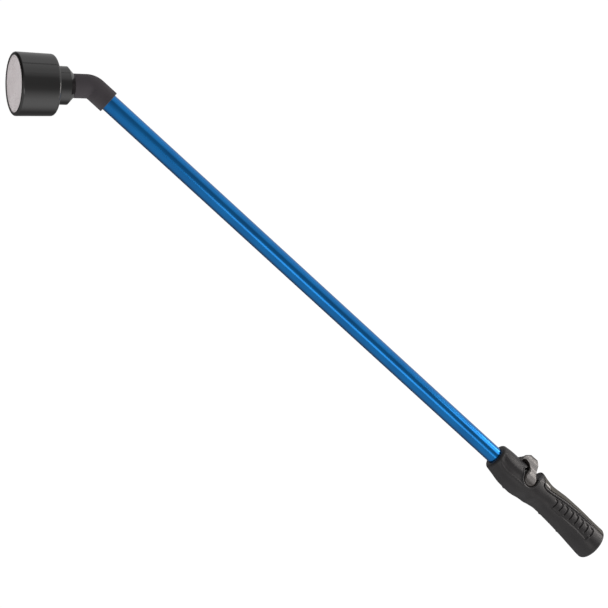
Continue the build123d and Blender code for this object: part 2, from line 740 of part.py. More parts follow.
with BuildPart() as breaker_face:
    with BuildSketch(head_plane(FACE_BACK)):
        Circle(PART_R)
        Circle(FACE_HOLE_R, mode=Mode.SUBTRACT)
        for ring in range(1, FACE_RINGS + 1):
            with PolarLocations(ring * FACE_RING_PITCH, ring * 6):
                Circle(FACE_HOLE_R, mode=Mode.SUBTRACT)
    extrude(amount=FACE_THICK)
save(breaker_face, "breaker_face")
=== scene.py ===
"""Watering wand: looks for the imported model. Lengths are in metres, in the wand's own frame."""
import json
import math

import bmesh
import bpy
import numpy as np
from mathutils import Euler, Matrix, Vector


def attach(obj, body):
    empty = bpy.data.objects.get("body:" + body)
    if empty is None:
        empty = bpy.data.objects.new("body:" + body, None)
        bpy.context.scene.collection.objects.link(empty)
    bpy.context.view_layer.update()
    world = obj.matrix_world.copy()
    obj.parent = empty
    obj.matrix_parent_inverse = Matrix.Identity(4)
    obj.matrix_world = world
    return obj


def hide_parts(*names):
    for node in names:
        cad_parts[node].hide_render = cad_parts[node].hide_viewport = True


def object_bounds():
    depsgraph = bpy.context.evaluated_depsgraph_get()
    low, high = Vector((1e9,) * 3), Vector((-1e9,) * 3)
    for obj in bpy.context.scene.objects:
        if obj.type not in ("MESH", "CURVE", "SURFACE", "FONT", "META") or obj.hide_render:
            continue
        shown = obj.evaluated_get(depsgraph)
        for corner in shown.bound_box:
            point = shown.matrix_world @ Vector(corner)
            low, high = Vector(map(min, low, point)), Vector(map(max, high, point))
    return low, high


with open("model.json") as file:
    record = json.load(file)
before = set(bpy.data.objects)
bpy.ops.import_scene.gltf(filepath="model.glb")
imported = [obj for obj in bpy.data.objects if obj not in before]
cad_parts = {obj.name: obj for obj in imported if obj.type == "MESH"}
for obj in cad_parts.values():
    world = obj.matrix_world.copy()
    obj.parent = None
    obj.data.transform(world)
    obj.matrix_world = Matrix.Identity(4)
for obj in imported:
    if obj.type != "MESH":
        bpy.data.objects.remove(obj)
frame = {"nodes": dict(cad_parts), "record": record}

CAD_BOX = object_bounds()
NODES = frame["nodes"]
MM = 0.001
ROOT = "wand"
LEVER = "lever_set"


# ---- camera, light and floor ---------------------------------------------------------------
CAMERA_PLACE = (-0.7219, -0.6785, 1.2516)
CAMERA_AZIMUTH, CAMERA_TILT, CAMERA_ROLL = -23.71, 29.87, 63.17   # degrees
CAMERA_LENS = 80.9


def add_camera():
    """Looks down on the wand from its belly side, rolled so that the head is at the upper left."""
    data = bpy.data.cameras.new("camera")
    data.sensor_width = 36
    data.lens = CAMERA_LENS
    data.clip_start = 0.05
    data.clip_end = 20
    camera = bpy.data.objects.new("camera", data)
    bpy.context.scene.collection.objects.link(camera)
    azimuth = Euler((0, 0, math.radians(CAMERA_AZIMUTH))).to_matrix()
    tilt = Euler((math.radians(CAMERA_TILT), 0, 0)).to_matrix()
    roll = Euler((0, 0, math.radians(CAMERA_ROLL))).to_matrix()
    place = (azimuth @ tilt @ roll).to_4x4()
    place.translation = Vector(CAMERA_PLACE)
    camera.matrix_world = place
    bpy.context.scene.camera = camera
    bpy.context.scene.view_settings.view_transform = "Standard"


def add_area_light(name, place, aim, size, radiance, colour):
    """A soft box that shines evenly: its power follows from its size."""
    data = bpy.data.lights.new(name, "AREA")
    data.shape = "RECTANGLE"
    data.size, data.size_y = size
    data.energy = radiance * math.pi * size[0] * size[1]
    data.color = colour
    light = bpy.data.objects.new(name, data)
    light.location = place
    light.rotation_euler = (Vector(aim) - Vector(place)).to_track_quat("-Z", "Y").to_euler()
    light.visible_camera = False
    bpy.context.scene.collection.objects.link(light)


FLOOR_HALF = 6.0
FLOOR_BASE = 0.1    # little of the light that falls on it comes back, so shadows stay faint
FLOOR_GLOW = 0.97


# name, place, aimed at, size, radiance, colour
LIGHTS = (
    ("key", (0.47, 0.87, 0.5), (-0.05, 0, 0), (0.5, 0.26), 6.5, (1, 0.93, 0.88)),
    ("grip_side", (0.13, 0.27, 0.36), (-0.08, 0, 0), (0.3, 0.45), 1.5, (1, 0.96, 0.94)),
    ("grip_low", (0.12, -0.29, 0.36), (-0.08, 0, 0), (0.16, 0.1), 1.8, (1, 0.92, 0.86)),
    ("strip", (-0.07, -0.8, 1.0), (-0.2, 0, 0), (0.8, 0.45), 1.2, (1, 1, 1)),
)


def add_floor():
    """A pale light table: evenly white, and absent from mirror reflections."""
    low = CAD_BOX[0][2]
    half = FLOOR_HALF
    corners = [(-half, -half, low), (half, -half, low), (half, half, low), (-half, half, low)]
    mesh = bpy.data.meshes.new("floor")
    mesh.from_pydata(corners, [], [(0, 1, 2, 3)])
    floor = bpy.data.objects.new("floor", mesh)
    bpy.context.scene.collection.objects.link(floor)
    material = bpy.data.materials.new("light_table")
    material.use_nodes = True
    shader = material.node_tree.nodes["Principled BSDF"]
    shader.inputs["Base Color"].default_value = (FLOOR_BASE, FLOOR_BASE, FLOOR_BASE, 1)
    shader.inputs["Roughness"].default_value = 0.9
    shader.inputs["Emission Color"].default_value = (1, 1, 1, 1)
    shader.inputs["Emission Strength"].default_value = FLOOR_GLOW
    mesh.materials.append(material)
    floor.visible_glossy = False


# The studio round the wand: brightness of the room by angle about the tube, from overhead (0)
# towards the lever's side (+90) or the other side (-90), in degrees.
ROOM = ((-180, 0.12), (-150, 0.2), (-130, 0.4), (-105, 0.55), (-60, 0.55), (-51, 0.45), (-25, 0.33),
        (0, 0.25), (17, 0.27), (27, 0.55), (58, 0.78), (59.5, 0.15), (61, 0.15), (62.5, 0.8), (100, 0.62),
        (130, 0.5), (160, 0.2), (180, 0.12))
ROOM_FRONT = 0.15   # how much of that is left towards the wand's head end
ROOM_REAR = 0.42    # how much brighter the rear end of the room is
FRONT_SPAN = (-0.85, -0.4)   # along X, where the room fades towards the head's end
REAR_SPAN = (0.62, 0.9)      # and where it brightens towards the rear


def add_world():
    """A room that is brighter on the two sides and dark overhead, with a white backdrop."""
    world = bpy.data.worlds.new("studio")
    world.use_nodes = True
    bpy.context.scene.world = world
    tree = world.node_tree
    background = tree.nodes["Background"]

    def math_node(operation, first, second=None):
        node = tree.nodes.new("ShaderNodeMath")
        node.operation = operation
        for socket, value in zip(node.inputs, (first, second)):
            if isinstance(value, bpy.types.NodeSocket):
                tree.links.new(value, socket)
            elif value is not None:
                socket.default_value = value
        return node.outputs[0]

    place = tree.nodes.new("ShaderNodeTexCoord")
    parts = tree.nodes.new("ShaderNodeSeparateXYZ")
    tree.links.new(place.outputs["Generated"], parts.inputs[0])
    around = math_node("ARCTAN2", parts.outputs["Y"], parts.outputs["Z"])
    turn = math_node("MULTIPLY_ADD", around, 0.5 / math.pi)
    turn.node.inputs[2].default_value = 0.5
    ramp = tree.nodes.new("ShaderNodeValToRGB")
    ramp.color_ramp.elements.remove(ramp.color_ramp.elements[0])
    for index, (angle, level) in enumerate(ROOM):
        position = angle / 360 + 0.5
        stop = ramp.color_ramp.elements[0] if index == 0 else ramp.color_ramp.elements.new(position)
        stop.position = position
        stop.color = (level, level, level, 1)
    tree.links.new(turn, ramp.inputs["Fac"])

    front = tree.nodes.new("ShaderNodeMapRange")
    front.interpolation_type = "SMOOTHSTEP"
    front.inputs["From Min"].default_value, front.inputs["From Max"].default_value = FRONT_SPAN
    front.inputs["To Min"].default_value = ROOM_FRONT
    front.inputs["To Max"].default_value = 1.0
    tree.links.new(parts.outputs["X"], front.inputs["Value"])
    rear = tree.nodes.new("ShaderNodeMapRange")
    rear.interpolation_type = "SMOOTHSTEP"
    rear.inputs["From Min"].default_value, rear.inputs["From Max"].default_value = REAR_SPAN
    rear.inputs["To Max"].default_value = ROOM_REAR
    tree.links.new(parts.outputs["X"], rear.inputs["Value"])
    sides = math_node("MULTIPLY", ramp.outputs["Color"], front.outputs["Result"])
    room = math_node("ADD", sides, rear.outputs["Result"])

    rays = tree.nodes.new("ShaderNodeLightPath")
    level = math_node("MAXIMUM", room, rays.outputs["Is Camera Ray"])
    background.inputs["Color"].default_value = (1, 1, 1, 1)
    tree.links.new(level, background.inputs["Strength"])


# ---- materials -----------------------------------------------------------------------------
def linear(colour):
    """sRGB 0-255 to linear."""
    def one(value):
        value = value / 255
        return value / 12.92 if value <= 0.04045 else ((value + 0.055) / 1.055) ** 2.4
    return tuple(one(value) for value in colour)


COAT_ROUGHNESS = 0.12
GRAIN_HEIGHT = 0.1 * MM
DRAWN_LINE_PITCH = 0.5 * MM
DRAWN_LINE_HEIGHT = 0.05 * MM
KNURL_PITCH = 1.5 * MM
KNURL_HEIGHT = 0.05 * MM
KNURL_RIDGES = ((-0.5, 0.7), (0.5, 0.3))   # slant and share of the height of each set


def moulded(name, dark, light, roughness=(0.3, 0.5), grain=0.0, grain_size=0.6 * MM,
            blotch=25 * MM, coat=0.0, metallic=0.0, specular=0.5):
    """Plastic, rubber or metal: colour and roughness drift slowly, and a fine grain bumps it."""
    material = bpy.data.materials.new(name)
    material.use_nodes = True
    tree = material.node_tree
    shader = tree.nodes["Principled BSDF"]
    shader.inputs["Metallic"].default_value = metallic
    shader.inputs["Specular IOR Level"].default_value = specular
    shader.inputs["Coat Weight"].default_value = coat
    shader.inputs["Coat Roughness"].default_value = COAT_ROUGHNESS
    place = tree.nodes.new("ShaderNodeTexCoord")

    drift = tree.nodes.new("ShaderNodeTexNoise")
    drift.inputs["Scale"].default_value = 1 / blotch
    drift.inputs["Detail"].default_value = 3
    tree.links.new(place.outputs["Object"], drift.inputs["Vector"])

    tint = tree.nodes.new("ShaderNodeValToRGB")
    tint.color_ramp.elements[0].position = 0.35
    tint.color_ramp.elements[0].color = (*dark, 1)
    tint.color_ramp.elements[1].position = 0.65
    tint.color_ramp.elements[1].color = (*light, 1)
    tree.links.new(drift.outputs["Fac"], tint.inputs["Fac"])
    tree.links.new(tint.outputs["Color"], shader.inputs["Base Color"])

    gloss = tree.nodes.new("ShaderNodeMapRange")
    gloss.inputs["To Min"].default_value = roughness[0]
    gloss.inputs["To Max"].default_value = roughness[1]
    tree.links.new(drift.outputs["Fac"], gloss.inputs["Value"])
    tree.links.new(gloss.outputs["Result"], shader.inputs["Roughness"])

    if grain:
        fine = tree.nodes.new("ShaderNodeTexNoise")
        fine.inputs["Scale"].default_value = 1 / grain_size
        fine.inputs["Detail"].default_value = 2
        tree.links.new(place.outputs["Object"], fine.inputs["Vector"])
        bump = tree.nodes.new("ShaderNodeBump")
        bump.inputs["Strength"].default_value = grain
        bump.inputs["Distance"].default_value = GRAIN_HEIGHT
        tree.links.new(fine.outputs["Fac"], bump.inputs["Height"])
        tree.links.new(bump.outputs["Normal"], shader.inputs["Normal"])
    return material


def anodised_material():
    """Blue anodised aluminium, with faint drawing lines along the tube."""
    material = moulded("blue_anodised", (0.003, 0.19, 0.56), (0.003, 0.22, 0.63),
                       roughness=(0.18, 0.24), metallic=1.0, coat=0.45)
    tree = material.node_tree
    shader = tree.nodes["Principled BSDF"]
    place = tree.nodes.new("ShaderNodeTexCoord")
    stretch = tree.nodes.new("ShaderNodeMapping")
    stretch.inputs["Scale"].default_value = (0.02, 1, 1)
    lines = tree.nodes.new("ShaderNodeTexNoise")
    lines.inputs["Scale"].default_value = 1 / DRAWN_LINE_PITCH
    lines.inputs["Detail"].default_value = 2
    bump = tree.nodes.new("ShaderNodeBump")
    bump.inputs["Strength"].default_value = 0.05
    bump.inputs["Distance"].default_value = DRAWN_LINE_HEIGHT
    tree.links.new(place.outputs["Object"], stretch.inputs["Vector"])
    tree.links.new(stretch.outputs["Vector"], lines.inputs["Vector"])
    tree.links.new(lines.outputs["Fac"], bump.inputs["Height"])
    tree.links.new(bump.outputs["Normal"], shader.inputs["Normal"])
    return material


def knurled(material):
    """Adds fine crossed slanting ridges, as on a moulded grip."""
    tree = material.node_tree
    place = tree.nodes.new("ShaderNodeTexCoord")
    parts = tree.nodes.new("ShaderNodeSeparateXYZ")
    tree.links.new(place.outputs["Object"], parts.inputs[0])

    def maths(operation, *values):
        node = tree.nodes.new("ShaderNodeMath")
        node.operation = operation
        for socket, value in zip(node.inputs, values):
            if isinstance(value, bpy.types.NodeSocket):
                tree.links.new(value, socket)
            else:
                socket.default_value = value
        return node.outputs[0]

    round_grip = maths("SUBTRACT", parts.outputs["Y"], maths("ABSOLUTE", parts.outputs["Z"]))
    height = 0.0
    for slant, amount in KNURL_RIDGES:
        lengthways = maths("MULTIPLY", parts.outputs["X"], 0.87)
        along = maths("ADD", lengthways, maths("MULTIPLY", round_grip, slant))
        wave = maths("SINE", maths("MULTIPLY", along, 2 * math.pi / KNURL_PITCH))
        height = maths("MULTIPLY_ADD", wave, amount, height)
    bump = tree.nodes.new("ShaderNodeBump")
    bump.inputs["Strength"].default_value = 1.0
    bump.inputs["Distance"].default_value = KNURL_HEIGHT
    tree.links.new(height, bump.inputs["Height"])
    tree.links.new(bump.outputs["Normal"], tree.nodes["Principled BSDF"].inputs["Normal"])
    return material


MATERIALS = {
    "blue_anodised": anodised_material(),
    "gloss_black": moulded("gloss_black", linear((13, 10, 10)), linear((16, 12, 12)), specular=1.0,
                           roughness=(0.1, 0.14), grain=0.03, grain_size=2 * MM),
    "face_grey": moulded("face_grey", linear((238, 229, 230)), linear((246, 238, 239)),
                         roughness=(0.4, 0.5), grain=0.1),
    "elbow_plastic": moulded("elbow_plastic", linear((76, 71, 75)), linear((84, 79, 83)), specular=0.3,
                             roughness=(0.6, 0.7), grain=0.3),
    "handle_plastic": moulded("handle_plastic", linear((44, 42, 43)), linear((49, 47, 48)), specular=0.42,
                              roughness=(0.36, 0.44), grain=0.04),
    "soft_pad": knurled(moulded("soft_pad", linear((68, 65, 59)), linear((75, 72, 65)),
                                roughness=(0.55, 0.65))),
    "lever_plastic": moulded("lever_plastic", linear((62, 56, 53)), linear((68, 62, 58)), specular=1.0,
                             roughness=(0.3, 0.36), grain=0.03),
    "valve_plastic": moulded("valve_plastic", linear((26, 26, 27)), linear((32, 32, 33)),
                             roughness=(0.5, 0.6), grain=0.2),
    "rotor_plastic": moulded("rotor_plastic", linear((215, 212, 200)), linear((225, 222, 212)),
                             roughness=(0.35, 0.45), grain=0.1),
    "seal_rubber": moulded("seal_rubber", linear((22, 22, 22)), linear((28, 28, 28)),
                           roughness=(0.55, 0.65), grain=0.2),
    "washer_rubber": moulded("washer_rubber", linear((32, 32, 33)), linear((40, 40, 41)),
                             roughness=(0.6, 0.7), grain=0.3),
    "screw_steel": moulded("screw_steel", linear((150, 150, 155)), linear((170, 170, 176)),
                           roughness=(0.25, 0.4), metallic=1.0, grain=0.15),
}
# copy of the pad's finish for its front bevel: the extra gloss is real, the lighter colour is a painted
# highlight
PAD_POLISHED_HIGHLIGHT = moulded("pad_polished_highlight", linear((88, 84, 80)), linear((96, 92, 88)), specular=1.0,
                       roughness=(0.1, 0.16))


def dress_cad_nodes():
    """Each CAD node gets the finish of its own material slot."""
    slots = {part["node"]: part["material_slot"] for part in frame["record"]["subparts"]}
    for name, node in NODES.items():
        for material_slot in node.material_slots:
            material_slot.material = MATERIALS[slots[name]]


# ---- mesh helpers --------------------------------------------------------------------------
def smooth_step(low, high, value):
    """0 below low, 1 above high, and a soft ramp between."""
    t = np.clip((value - low) / (high - low), 0, 1)
    return t * t * (3 - 2 * t)


def ridge(distance, width):
    """1 on a line, falling off softly over width."""
    return np.exp(-((distance / width) ** 2))


def curve_through(points):
    """A smooth function y(x) through a few (x, y) points, without overshoot."""
    xs = np.array([p[0] for p in points], float)
    ys = np.array([p[1] for p in points], float)
    slope = np.diff(ys) / np.diff(xs)
    tangent = np.zeros_like(ys)
    inner = slope[:-1] * slope[1:] > 0
    tangent[1:-1][inner] = 2 * slope[:-1][inner] * slope[1:][inner] / (slope[:-1] + slope[1:])[inner]
    tangent[0], tangent[-1] = slope[0], slope[-1]

    def value(x):
        x = np.clip(np.asarray(x, float), xs[0], xs[-1])
        i = np.clip(np.searchsorted(xs, x) - 1, 0, len(xs) - 2)
        step = xs[i + 1] - xs[i]
        t = (x - xs[i]) / step
        rise = ys[i] * (1 + 2 * t) * (1 - t) ** 2 + ys[i + 1] * t * t * (3 - 2 * t)
        return rise + step * (tangent[i] * t * (1 - t) ** 2 - tangent[i + 1] * t * t * (1 - t))

    return value


def away_from(path, x, y):
    """Shortest distance from each (x, y) to a polyline."""
    best = np.full(np.shape(x), 1e9)
    for (ax, ay), (bx, by) in zip(path[:-1], path[1:]):
        dx, dy = bx - ax, by - ay
        t = np.clip(((x - ax) * dx + (y - ay) * dy) / (dx * dx + dy * dy + 1e-12), 0, 1)
        best = np.minimum(best, np.hypot(x - ax - t * dx, y - ay - t * dy))
    return best


def inside_depth(outline, x, y):
    """How far each (x, y) is inside a closed outline; negative outside."""
    inside = np.zeros(np.shape(x), bool)
    for (ax, ay), (bx, by) in zip(outline, outline[1:] + outline[:1]):
        if ay != by:
            crossing = ax + (y - ay) * (bx - ax) / (by - ay)
            inside ^= ((ay > y) != (by > y)) & (x < crossing)
    distance = away_from(outline + outline[:1], x, y)
    return np.where(inside, distance, -distance)


def arc_points(centre, radius, start_deg, end_deg, count=24):
    """Points on an arc, anticlockwise where end is more than start."""
    angles = np.radians(np.linspace(start_deg, end_deg, count))
    return [(centre[0] + radius * math.cos(a), centre[1] + radius * math.sin(a)) for a in angles]


def new_piece(name, verts, faces, slot, body, smooth_deg=40):
    """A mesh piece from millimetre coordinates, finished from a material slot and riding on a body."""
    mesh = bpy.data.meshes.new(name)
    mesh.from_pydata([tuple(v) for v in np.asarray(verts) * MM], [], faces)
    mesh.validate()
    made = bmesh.new()
    made.from_mesh(mesh)
    bmesh.ops.recalc_face_normals(made, faces=made.faces)
    made.to_mesh(mesh)
    made.free()
    piece = bpy.data.objects.new(name, mesh)
    bpy.context.scene.collection.objects.link(piece)
    finish_piece(piece, slot, body, smooth_deg)
    return piece


def finish_piece(piece, slot, body, smooth_deg=40):
    """Gives a piece the material of a slot, smooth shading with hard corners, and its body."""
    piece.data.materials.clear()
    piece.data.materials.append(MATERIALS[slot])
    piece.data.shade_smooth()
    piece.data.set_sharp_from_angle(angle=math.radians(smooth_deg))
    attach(piece, body)


def sandwich(outer, inner):
    """Closed solid between two grids of points of the same shape: (verts, quads)."""
    rows, columns = outer.shape[:2]
    verts = np.concatenate([outer.reshape(-1, 3), inner.reshape(-1, 3)])
    base = rows * columns

    def at(r, c, layer):
        return layer * base + r * columns + c

    faces = []
    for r in range(rows - 1):
        for c in range(columns - 1):
            faces.append((at(r, c, 0), at(r, c + 1, 0), at(r + 1, c + 1, 0), at(r + 1, c, 0)))
            faces.append((at(r, c, 1), at(r + 1, c, 1), at(r + 1, c + 1, 1), at(r, c + 1, 1)))
    for r in range(rows - 1):
        for c in (0, columns - 1):
            faces.append((at(r, c, 0), at(r + 1, c, 0), at(r + 1, c, 1), at(r, c, 1)))
    for c in range(columns - 1):
        for r in (0, rows - 1):
            faces.append((at(r, c, 0), at(r, c + 1, 0), at(r, c + 1, 1), at(r, c, 1)))
    return verts, faces


# ---- grip form -----------------------------------------------------------------------------
# Millimetres. Sections along the grip: place, centre height, half height, half width.
GRIP_SECTIONS = (
    (-156.8, 0.2, 15.2, 14.6),
    (-145.8, -0.4, 16.9, 15.6),
    (-133.8, -1.5, 18.3, 16.4),
    (-119.8, -1.4, 19.1, 17.0),
    (-99.8, 2.6, 20.3, 16.4),
    (-90.8, 2.5, 18.2, 15.9),
    (-80.8, 2.5, 16.6, 15.5),
    (-60.8, 3.0, 17.9, 16.0),
    (-38.8, 2.3, 18.7, 17.0),
    (-15.8, 0.6, 19.3, 18.5),
    (-3.8, 0.0, 19.7, 19.2),
    (0.0, 0.0, 19.7, 19.2),
)
CENTRE_AT, HALF_HEIGHT_AT, HALF_WIDTH_AT = (
    curve_through([(row[0], row[i]) for row in GRIP_SECTIONS]) for i in (1, 2, 3)
)
GRIP_FRONT = -156.8
LIP_ROUND = 2.6
REAR_ROUND = 3.4
WALL = 2.9
PAD_THICK = 1.2
PAD_FRONT = -100.0
PAD_REAR = -2.4
# where the inner skin closes on something: radius of the opening, from, to
CLOSED_STRETCHES = ((9.75, GRIP_FRONT, -154.2), (11.5, -100.4, -97.8), (15.3, -6.0, 0.0))

RECESS_CENTRE = (-113.4, 0.1)
RECESS_R = 8.9
SCREWS = ((-123.8, -14.5, 2.8), (-70.8, -9.4, 2.3), (-40.8, -10.6, 2.3))
SCREW_HEAD_R = 2.0
SCREW_HEAD_Z = -5.0

# side view: lower edge of the soft pad, the groove below it, the panel's lower border, and the
# crease along the front body
PAD_EDGE = curve_through([(-100.2, 19.0), (-97.2, 13.6), (-95.1, 10.3), (-93.2, 7.9), (-90.1, 7.1),
                          (-85.5, 7.3), (-74.1, 9.3), (-60.8, 11.5), (-54.1, 12.1), (-44.1, 12.1),
                          (-34.1, 11.6), (-24.1, 11.0), (-14.1, 9.9), (-2.0, 8.6)])
GROOVE = [(-95.7, 7.2), (-94.1, 4.6), (-91.4, 3.6), (-88.1, 3.5), (-82.8, 4.1), (-68.8, 6.5),
          (-62.1, 7.3), (-54.1, 8.0), (-40.8, 8.6), (-34.1, 8.7), (-21.8, 8.4), (-9.8, 6.8)]
GROOVE_HEIGHT = curve_through(GROOVE)
RIDGE = [(-61.8, -9.2), (-54.1, -8.4), (-47.5, -8.5), (-37.5, -8.5), (-30.8, -9.1), (-24.1, -9.8),
         (-19.4, -10.6), (-18.0, -8.6), (-17.8, -5.0)]
CREASE = curve_through([(-155.8, -6.2), (-149.6, -8.9), (-144.6, -10.4), (-137.8, -11.2), (-127.4, -10.8),
                        (-116.8, -11.0), (-107.8, -11.0)])

RIB_TOPS = (3.7, 4.7, 5.5, 6.1, 6.3, 6.1, 5.9, 5.7)
RIB_FIRST = -70.2
RIB_PITCH = 7.7
RIB_CORNER = 2.4
RIB_DEPTH = 1.25
RIB_FALL = 1.5          # how quickly a scoop falls away towards its step
RIB_STEP = 0.5          # width of the step
RIB_BOTTOMS = (-6.6, -4.9)   # the first rib's lower end, and the others'

# heights and depths of the moulded detail, and the width of each where it is a line
PAD_GAP = (0.9, 0.55)
GROOVE_CUT = (1.2, 0.55)
BEAD_HEIGHT = 0.6
PANEL_DEPTH = 0.35
RIDGE_RISE = (0.8, 1.25)
HOLLOW_DEPTH = 0.9
HOLLOW_HEIGHT = 11.0
CREASE_RISE = (0.5, 0.8)
LIP_RISE = (0.45, 0.7)
LIP_AWAY = 1.3
SLOT_EDGE_CUT = (0.4, 0.5)
FLARE_RISE = (0.4, 2.8)
RING_LINE = (0.15, 0.5)
SEAM_LINE = (0.12, 0.25)


def slot_outline():
    """Side outline of the opening that the lever stands in, anticlockwise."""
    lower = arc_points(RECESS_CENTRE, RECESS_R, 190, 352, 44)
    rear = [(-104.3, 3.4), (-103.6, 7.5), (-102.2, 11.2), (-100.8, 14.8), (-100.4, 18.0), (-100.4, 34.0)]
    top = [(-138.4, 34.0), (-137.8, 18.5), (-136.4, 14.2), (-134.4, 12.6), (-131.2, 12.8)]
    nose = [(-128.0, 14.0), (-125.5, 14.5), (-123.4, 13.8), (-122.3, 11.8), (-122.8, 9.4), (-125.3, 6.4)]
    return lower + rear + top + nose + [(-125.4, 5.4), (-124.2, 2.6)]


SLOT = slot_outline()


def rib_relief(x, y):
    """Hooked scoops: each falls away slowly towards the rear, and ends at a sharp step."""
    lift = np.zeros_like(x)
    for index, top in enumerate(RIB_TOPS):
        line = RIB_FIRST + index * RIB_PITCH - 0.022 * (y - 1.5) ** 2 * (y < 1.5)
        along = x - (line - RIB_CORNER)
        up = y - (top - RIB_CORNER)
        corner = np.hypot(np.maximum(along, 0), np.maximum(up, 0))
        reach = np.where((along > 0) & (up > 0), corner, np.maximum(along, up)) - RIB_CORNER
        bottom = RIB_BOTTOMS[0] if index == 0 else RIB_BOTTOMS[1]
        fade = smooth_step(line - 5.6, line - 2.2, x) * smooth_step(bottom - 1.2, bottom + 1.4, y)
        scoop = np.exp(np.minimum(reach, 0) / RIB_FALL)
        step = 1 - smooth_step(0.0, RIB_STEP, reach)
        lift -= RIB_DEPTH * fade * scoop * step
    return lift


def shell_relief(x, y, z):
    """Height of the moulded detail above the plain form."""
    side = smooth_step(4.0, 9.0, np.abs(z))
    lift = np.zeros_like(x)
    # pocket for the soft pad, with an open gap, and the bead and groove that run below it
    pad_side = y - PAD_EDGE(x)
    in_pad = (x > PAD_FRONT - 0.8) & (x < PAD_REAR + 0.2)
    lift -= np.where(in_pad, (PAD_THICK + 0.05) * smooth_step(-0.5, -0.1, pad_side), 0)
    lift -= np.where(in_pad & (y > 0), PAD_GAP[0] * ridge(pad_side, PAD_GAP[1]), 0)
    fading = smooth_step(-16, -32, x)
    lift -= GROOVE_CUT[0] * side * ridge(away_from(GROOVE, x, y), GROOVE_CUT[1]) * fading
    across = (y - GROOVE_HEIGHT(x)) / np.maximum(PAD_EDGE(x) - 0.4 - GROOVE_HEIGHT(x), 1) * 2 - 1
    bead = np.sqrt(np.maximum(1 - across ** 2, 0)) * in_pad * smooth_step(-96.5, -93.5, x)
    lift += BEAD_HEIGHT * side * bead * (0.4 + 0.6 * fading)
    # recessed panel with the ribs, and the raised border below it
    border = np.interp(x, *np.array(RIDGE[:-2]).T)
    panel = smooth_step(-80, -72, x) * (1 - smooth_step(-18.4, -17.4, x))
    panel = panel * smooth_step(0.6, 2.2, y - border) * (1 - smooth_step(-2.6, -0.6, y - GROOVE_HEIGHT(x)))
    lift -= PANEL_DEPTH * side * panel
    lift += side * rib_relief(x, y)
    lift += RIDGE_RISE[0] * side * ridge(away_from(RIDGE, x, y), RIDGE_RISE[1]) * smooth_step(-64, -52, x)
    # crease along the front body, with a shallow hollow above it
    above = y - CREASE(x)
    front = smooth_step(-157, -150, x) * (1 - smooth_step(-126, -116, x))
    lift -= HOLLOW_DEPTH * front * side * np.sin(math.pi * np.clip(above / HOLLOW_HEIGHT, 0, 1)) ** 1.5
    crease = ridge(above, CREASE_RISE[1])
    lift += CREASE_RISE[0] * side * crease * smooth_step(-157, -146, x) * (1 - smooth_step(-118, -111, x))
    # rounded lip round the lever's opening, and the flare behind it
    edge = away_from(SLOT + SLOT[:1], x, y)
    lift += LIP_RISE[0] * side * ridge(edge - LIP_AWAY, LIP_RISE[1]) * (1 - smooth_step(4, 8, y))
    lift -= SLOT_EDGE_CUT[0] * ridge(edge, SLOT_EDGE_CUT[1])
    lift += FLARE_RISE[0] * side * ridge(np.hypot(x + 101.6, (y - 8.0) * 0.4), FLARE_RISE[1])
    # ring line at the rear, and the hairline where the two shells meet
    lift -= RING_LINE[0] * ridge(x + 5.0, RING_LINE[1])
    lift -= SEAM_LINE[0] * ridge(z, SEAM_LINE[1])
    return lift


def grip_grid(x_values, angles, lift_at):
    """Points of the skin at places along the grip and angles from the lever's side towards +Z."""
    x, angle = np.meshgrid(x_values, angles, indexing="ij")
    centre, high, wide = CENTRE_AT(x), HALF_HEIGHT_AT(x), HALF_WIDTH_AT(x)
    y = centre + high * np.cos(angle)
    z = wide * np.sin(angle)
    lift = lift_at(x, y, z)
    # rounding at both ends
    to_front = np.clip(GRIP_FRONT + LIP_ROUND - x, 0, LIP_ROUND)
    to_rear = np.clip(x + REAR_ROUND, 0, REAR_ROUND)
    lift = lift - (LIP_ROUND - np.sqrt(np.maximum(LIP_ROUND ** 2 - to_front ** 2, 0)))
    lift = lift - (REAR_ROUND - np.sqrt(np.maximum(REAR_ROUND ** 2 - to_rear ** 2, 0)))
    y = centre + (high + lift) * np.cos(angle)
    z = (wide + lift) * np.sin(angle)
    return np.stack([x, y, z], axis=-1)


# from, to, and the distance between sections there
GRIP_STEPS = ((-154.2, -130.0, 0.4), (-130.0, -78.0, 0.28), (-78.0, -14.0, 0.2), (-14.0, -3.4, 0.35))


def grip_places():
    """Places along the shell: closer together at the rounded ends, the slot, the pad and the ribs."""
    coarse = 1
    turn = 1 - np.cos(np.linspace(0, math.pi / 2, 10))
    stretches = [GRIP_FRONT + LIP_ROUND * turn, -REAR_ROUND * turn]
    for low, high, step in GRIP_STEPS:
        stretches.append(np.arange(low + step, high, step * coarse))
    for _, low, high in CLOSED_STRETCHES:
        stretches.append([max(low - 0.02, GRIP_FRONT), min(high + 0.02, 0.0)])
    places = np.unique(np.round(np.concatenate(stretches), 3))
    return places[np.concatenate([[True], np.diff(places) > 0.015])]


def joined(name, meshes):
    """One mesh object from several (verts, faces) in millimetres."""
    made = bmesh.new()
    for verts, faces in meshes:
        corners = [made.verts.new(tuple(v)) for v in np.asarray(verts) * MM]
        for face in faces:
            made.faces.new([corners[i] for i in face])
    bmesh.ops.recalc_face_normals(made, faces=made.faces)
    mesh = bpy.data.meshes.new(name)
    made.to_mesh(mesh)
    made.free()
    piece = bpy.data.objects.new(name, mesh)
    bpy.context.scene.collection.objects.link(piece)
    return piece


def prism(outline, low, high):
    """Closed prism of a side outline: (verts, faces)."""
    count = len(outline)
    verts = [(x, y, low) for x, y in outline] + [(x, y, high) for x, y in outline]
    faces = [tuple(range(count))[::-1], tuple(range(count, 2 * count))]
    faces += [(i, (i + 1) % count, count + (i + 1) % count, count + i) for i in range(count)]
    return verts, faces


def combine(piece, other, operation):
    """Adds the other solid to the piece or takes it out, and removes the other."""
    modifier = piece.modifiers.new("combine", "BOOLEAN")
    modifier.object = other
    modifier.operation = operation
    modifier.solver = "EXACT"
    apply_modifiers(piece)
    bpy.data.objects.remove(other)


